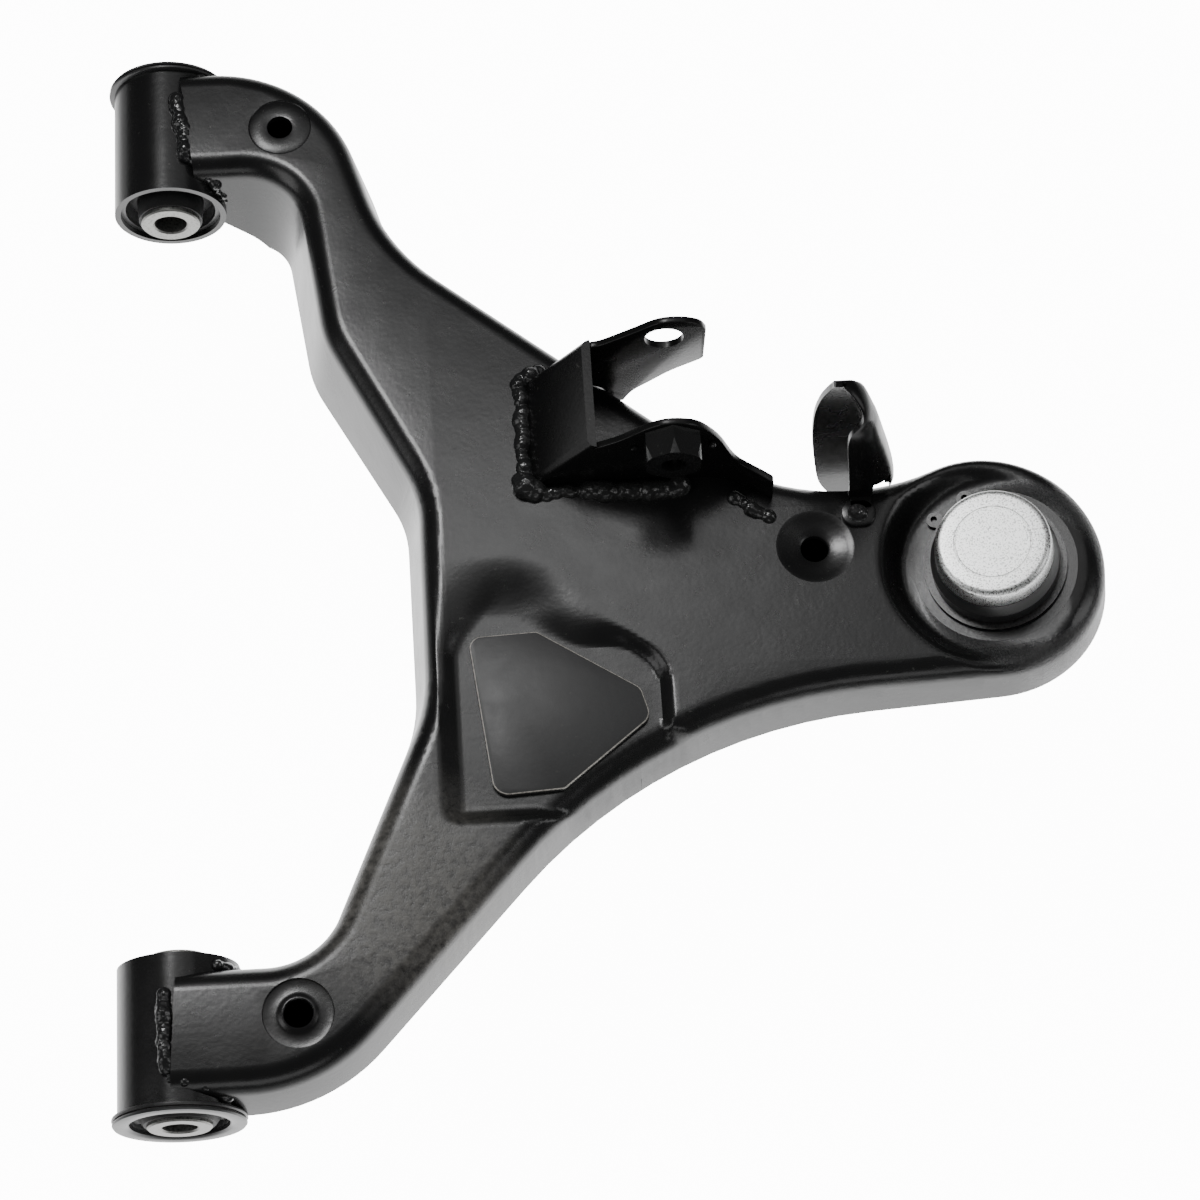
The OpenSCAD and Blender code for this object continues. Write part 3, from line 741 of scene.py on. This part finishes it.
bracket_beads = [
    bead([(173.5, 23, 31.5), (173.5, 50, 31.5), (174, 84, 31)], 4.0, 0.45, 0.5),
    bead([(173, 80, 31), (177, 84, 31), (185, 84, 31)], 3.8, 0.8),
    bead([(171, 24, 31.5), (177, 20, 32), (186, 18.5, 32)], 5.2, 0.7),
    bead([(186, 19.5, 31.5), (200, 19.5, 31.5)], 3.2, 0.5),
    bead([(203, 19, 31.5), (216, 18, 31.5), (236, 18, 31.5), (251, 19.5, 31.5)], 5.0, 0.35, 0.4),
    bead([(276, 11, 31.5), (285, 4, 31.5), (292, 0, 31.5)], 3.4, 0.7),
    bead([(199, 82, 29), (208, 82, 26), (215, 82, 20), (220, 81.6, 13)], 2.2, 0.5),
]
for x, z in ((225, 70), (263, 70)):
    bracket_beads.append(bead([(x, 22.6, z), (x + 2, 22.6, z)], 1.8, 0.9))
flowed(finished(
    "damper_bracket_weld_beads", joined(bracket_beads), weld_black, "arm", "painted_weld",
    "damper_bracket_weld",
))

# The bump stop pad: a flat blanked plate, let into the shell's pocket. Its top edge has
# a small chamfer, painted light grey as a highlight along the edge.
satin_black = dark_coat("satin_black_coating", 0.03, 0.4, 300)
# The chamfer's paint: light grey and half metallic, a painted highlight along the pad's edge.
pad_edge_painted_highlight = bare_metal("pad_edge_painted_highlight", (0.5, 0.48, 0.44), 0.45, 700, 0.25)
PAD = [(142, -54, 6), (151, -135, 8), (184, -133, 3), (227, -99, 7), (223, -84, 7), (175, -52.5, 4)]
pad = bmesh.new()
pad_top = pad.faces.new([pad.verts.new((p.x, p.y, 26.5)) for p in arc_points(PAD, 6)])
if pad_top.normal.z > 0:
    pad_top.normal_flip()
thickened(pad, (0, 0, 3))
rim = [e for e in pad.edges if all(v.co.z > 29 for v in e.verts)]
eased_edges(pad, rim, 0.55, 2)
# The chamfer's faces take the painted highlight; the flat faces keep the satin black.
for f in pad.faces:
    f.material_index = 1 if 0.15 < f.normal.z < 0.95 else 0
pad_piece = finished("bump_stop_pad_plate", pad, satin_black, "arm", "pad_paint", "bump_stop_pad")
pad_piece.data.materials.append(pad_edge_painted_highlight)


# The damper bracket: 3.5 mm plate bent to a channel, with two ears across the arm.
# The inner ear ends in a tail that is bent back along the arm's edge.
def smooth_line(points, parts=5):
    """A smooth curve through the points."""
    line = []
    for i in range(len(points) - 1):
        before = Vector(points[max(0, i - 1)])
        a, b = Vector(points[i]), Vector(points[i + 1])
        after = Vector(points[min(len(points) - 1, i + 2)])
        for k in range(parts):
            t = k / parts
            bow = (2 * before - 5 * a + 4 * b - after) * t ** 2
            twist = (3 * a - before - 3 * b + after) * t ** 3
            line.append(0.5 * (2 * a + (b - before) * t + bow + twist))
    return line + [Vector(points[-1])]


def plate_across(outline, y, thickness):
    """A plate standing across the arm, from an outline of (x, z), with its edges eased."""
    plate = bmesh.new()
    plate.faces.new([plate.verts.new((x, y, z)) for x, z in outline])
    thickened(plate, (0, thickness, 0))
    plate.normal_update()
    edges = [e for e in plate.edges if len(e.link_faces) == 2 and e.calc_face_angle() > 0.8]
    eased_edges(plate, edges, 0.5, 2)
    return plate


EAR_Y = 23.5
PLATE = 3.5
EAR_FOOT = [(181, 31.6), (205, 68)]
BEND_X = 262
BEND_CENTRE = 10.5
ear_line = [
    (208, 69.5), (218.3, 75.6), (230.3, 86.1), (238.6, 91), (247.6, 91.3), (256.7, 87),
    (266.5, 72.6), (274, 56), (281, 50), (293, 48.5),
]
near_outline = EAR_FOOT + [(p.x, p.y) for p in smooth_line(ear_line)] + [(293.4, 31.6)]
near_ear = plate_across(near_outline, EAR_Y, PLATE)
for k in range(11):
    bmesh.ops.bisect_plane(
        near_ear, geom=near_ear.verts[:] + near_ear.edges[:] + near_ear.faces[:],
        plane_co=(BEND_X + 3 * k, 0, 0), plane_no=(1, 0, 0),
    )
for v in near_ear.verts:
    if v.co.x > BEND_X:
        reach = BEND_CENTRE + v.co.y
        v.co.y -= reach * (1 - math.cos((v.co.x - BEND_X) / reach))
far_line = [(208, 69.8), (214, 72), (228, 82), (240, 90.5), (251, 91.6), (260, 88), (263.6, 82)]
low_line = [(263.6, 56), (262, 52.5), (248.5, 42), (238, 31), (230, 22), (225.5, 12)]
far_outline = EAR_FOOT + [(p.x, p.y) for p in smooth_line(far_line)]
far_outline += [(p.x, p.y) for p in smooth_line(low_line)]
far_outline += [(220.5, 12), (218.4, 19.5), (217.6, 23), (214.2, 27), (208.7, 30), (199.5, 31.6)]
far_ear = plate_across(far_outline, 77.5, PLATE)
# The channel's back leans outboard from its foot. The two edges of its outer face are
# the rounded bends that run into the ears.
BACK_X = 176
BACK_LEAN = 0.6875
back = bmesh.new()
back.faces.new([back.verts.new((x, EAR_Y, z)) for x, z in (
    (BACK_X, TOP), (180.3, TOP), (207.8, 71.5), (203.5, 71.5),
)])
thickened(back, (0, 57.5, 0))
outer_edges = [
    e for e in back.edges
    if all(abs(v.co.x - BACK_X - (v.co.z - TOP) * BACK_LEAN) < 0.1 for v in e.verts)
    and abs(e.verts[0].co.z - e.verts[1].co.z) > 10
]
eased_edges(back, outer_edges, 4.5, 6)
thin_black = dark_coat("thin_black_coating", 0.007, 0.26, 500)
thin_black.node_tree.nodes["Principled BSDF"].inputs["Specular IOR Level"].default_value = 0.25
bracket = finished(
    "damper_bracket_plate", joined([near_ear, far_ear, back]), thin_black, "arm",
    "black_paint", "damper_bracket",
)
bolt_hole = finished("bolt_hole", joined([
    turned(rod(9.5, 6), (243.5, 79, 76), (0, 1, 0)),
    turned(rod(6.2, 4), (243.5, 25, 76), (0, 1, 0)),
]), gloss_black, None, None)
cut_out(bracket, bolt_hole, True)
bpy.data.objects.remove(bolt_hole)

# The weld nut: a plain hexagon, projection welded to the inner ear for the damper's bolt,
# and coated with the arm.
painted("damper_weld_nut", gloss_black)

# The droop stop: a deep-drawn half cup of 3 mm sheet, standing on the arm's front edge.
# Its back leans over the arm as it rises, and its crown is closed to a blunt point.
STOP = [
    # height above the arm, far rim x, back x, near rim x, far y, near y
    (-42, 327, 354, 331, 34, 8), (-32, 322, 355, 331, 34, 8), (-20, 318.5, 355.5, 331, 34, 8),
    (8, 314.5, 353, 330, 34, 8), (30, 312.5, 348.5, 328, 34, 8), (48, 312, 344, 326, 34, 8),
    (60, 313, 341, 325, 33.6, 8.2), (67, 314, 339, 326, 33, 9.4), (73, 315.3, 336.5, 330.5, 32.2, 11.6),
    (78, 316.5, 334, 331, 31.4, 14.5), (82, 317.5, 331, 328.5, 30.6, 18), (85, 318, 327.5, 325.5, 29.8, 21.6),
    (86.6, 318.5, 323.5, 322, 28.6, 25),
]
sections = [[Vector(row[i:i + 3]) for row in STOP] for i in (0, 3)]
lower_halves = smooth_line(sections[0], 4)
upper_halves = smooth_line(sections[1], 4)
cup = bmesh.new()
bmesh.ops.create_grid(cup, x_segments=36, y_segments=len(lower_halves) - 1, size=1)
rows = sorted({round(v.co.y, 4) for v in cup.verts})
for v in cup.verts:
    row = rows.index(round(v.co.y, 4))
    height, far_x, back_x = lower_halves[row]
    near_x, far_y, near_y = upper_halves[row]
    r = min((far_y - near_y) / 2, back_x - max(far_x, near_x))
    lengths = (back_x - r - far_x, math.pi * r + (far_y - near_y - 2 * r), back_x - r - near_x)
    share = (v.co.x + 1) / 2
    if share < 0.3:
        x = far_x + lengths[0] * share / 0.3
        y = far_y
    elif share > 0.8:
        x = near_x + lengths[2] * (1 - share) / 0.2
        y = near_y
    else:
        turn = math.pi * (share - 0.3) / 0.5
        x = back_x - r + r * math.sin(turn)
        y = (far_y + near_y) / 2 + (far_y - near_y) / 2 * math.cos(turn)
    v.co = (x, y, TOP + height)
bmesh.ops.recalc_face_normals(cup, faces=cup.faces)
outer = [f for f in cup.faces if f.calc_center_median().x > 340]
if sum(f.normal.x for f in outer) < 0:
    bmesh.ops.reverse_faces(cup, faces=cup.faces)
bmesh.ops.solidify(cup, geom=cup.faces[:], thickness=3)
bmesh.ops.recalc_face_normals(cup, faces=cup.faces)
stop = finished("droop_stop_cup", cup, thin_black, "arm", "black_paint", "droop_stop")
trims = bmesh.new()
for low, high in (
    ((341.5, -20, 1), (350.5, 15, 14)), ((341, -20, -60), (390, 60, 2.5)),
    ((300, -20, -60), (345, 18.5, 0.6)),
):
    made = bmesh.ops.create_cube(trims, size=1)
    bmesh.ops.scale(trims, vec=[h - l for l, h in zip(low, high)], verts=made["verts"])
    bmesh.ops.translate(trims, vec=[(h + l) / 2 for l, h in zip(low, high)], verts=made["verts"])
bmesh.ops.translate(trims, vec=(0, 0, TOP), verts=trims.verts)
trim = finished("trim", trims, gloss_black, None, None)
cut_out(stop, trim, True)
bpy.data.objects.remove(trim)
soft = stop.modifiers.new("edges", "BEVEL")
soft.width = 0.6 * MM
soft.segments = 2
soft.limit_method = "ANGLE"
soft.angle_limit = math.radians(50)

# The foot of the stop: a round-ended tab bent from the same sheet, joined by a short
# neck. It lies on the arm and is held by a plug weld.
FOOT_SHEET = 2.4
foot_tab = bmesh.new()
made = bmesh.ops.create_cube(foot_tab, size=1)
bmesh.ops.scale(foot_tab, vec=(17, 14, FOOT_SHEET), verts=made["verts"])
corners = [e for e in foot_tab.edges if abs(e.verts[0].co.z - e.verts[1].co.z) > 1]
eased_edges(foot_tab, corners, 6.6, 8)
rim = [e for e in foot_tab.edges if e.verts[0].co.z > 1 and e.verts[1].co.z > 1]
eased_edges(foot_tab, rim, 0.9, 2)
bmesh.ops.translate(foot_tab, vec=(334.5, 0, TOP + FOOT_SHEET / 2), verts=foot_tab.verts)
neck = bmesh.new()
made = bmesh.ops.create_cube(neck, size=1)
bmesh.ops.scale(neck, vec=(10, 8, FOOT_SHEET), verts=made["verts"])
bmesh.ops.translate(neck, vec=(336, 6.5, TOP + FOOT_SHEET / 2), verts=neck.verts)
foot_piece = joined([foot_tab, neck])
finished("droop_stop_foot", foot_piece, gloss_black, "arm", "black_paint", "droop_stop")
plug = turned([
    (0, 2.4), (1.5, 2.5), (3, 2.6), (3.6, 3.1), (4.4, 3.2), (5, 2.6), (5, 2), (0, 2),
], (334, -0.5, TOP), (0, 0, 1), 32)
finished("droop_stop_plug_weld", plug, weld_black, "arm", "painted_weld", "droop_stop_weld")

# The ball joint: a forged housing pressed into the eye, closed by a zinc-plated cap whose
# rim is rolled over, and kept in by an open snap ring.
zinc = bare_metal("zinc_plating", (0.93, 0.94, 0.93), 0.36, 1300, 1.0, 0.3)
dark_steel = bare_metal("oiled_spring_steel", (0.10, 0.10, 0.10), 0.35, 1200)
phosphate = dark_coat("phosphate_coating", 0.03, 0.3, 700)
cap = turned([
    (0, 13.4), (28.4, 13.4), (28.5, 14.5), (28.2, 19), (27.7, 23.6), (27.2, 25),
    (26, 25.85), (24.5, 26), (18.8, 26), (18.5, 25.5), (18.1, 25.5), (17.8, 26), (9, 26.05),
    (0, 26.05),
], BALL_FOOT, BALL_AXIS, 128)
finished("ball_joint_cap_rolled", cap, zinc, "arm", "cap_zinc", "ball_joint_cap")
painted("ball_joint_housing", phosphate)
for name in ("snap_ring", "ball_preload_disc", "boot_upper_ring", "boot_lower_ring"):
    painted(name, dark_steel)
painted("ball_seat_liner", bare_metal("acetal", (0.78, 0.76, 0.68), 0.5, 400, 0.0))
painted("ball_stud", bare_metal("ground_stud_steel", (0.24, 0.24, 0.24), 0.32, 700))

# The dust boot: moulded rubber in two folds, filled with grease. A ring clamps its upper
# fold to the housing, and its lower fold closes on the stud.
EYE_BOTTOM = -27


def boot_fold(name, profile):
    """One fold, from (radius, height from the eye's underside)."""
    shape = turned([(r, EYE_BOTTOM + h) for r, h in profile], BALL_FOOT, BALL_AXIS, 64)
    return finished(name, shape, rubber_black, None, None)


upper_fold = boot_fold("dust_boot_upper_fold", [
    (22.5, -7.1), (24.5, -7.1), (26, -8.4), (27, -10), (27, -12), (25.9, -13.6), (23, -13),
    (22.5, -11),
])
lower_fold = boot_fold("dust_boot_lower_fold", [
    (25.9, -13.4), (24.5, -14.8), (22.5, -16.3), (20, -17.5), (16, -18.2), (13.4, -18.6),
    (13.2, -19.4), (13.2, -21.4), (12.8, -22), (11.3, -22), (11.3, -17.2), (15, -17),
    (20, -16), (21.5, -15), (23.4, -12.9),
])
for piece, before, after, top, low in (
    (upper_fold, "arm", "boot", -7.1, -13.4), (lower_fold, "boot", "boot_collar", -13, -16.3),
):
    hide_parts("dust_boot")
    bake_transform(piece)
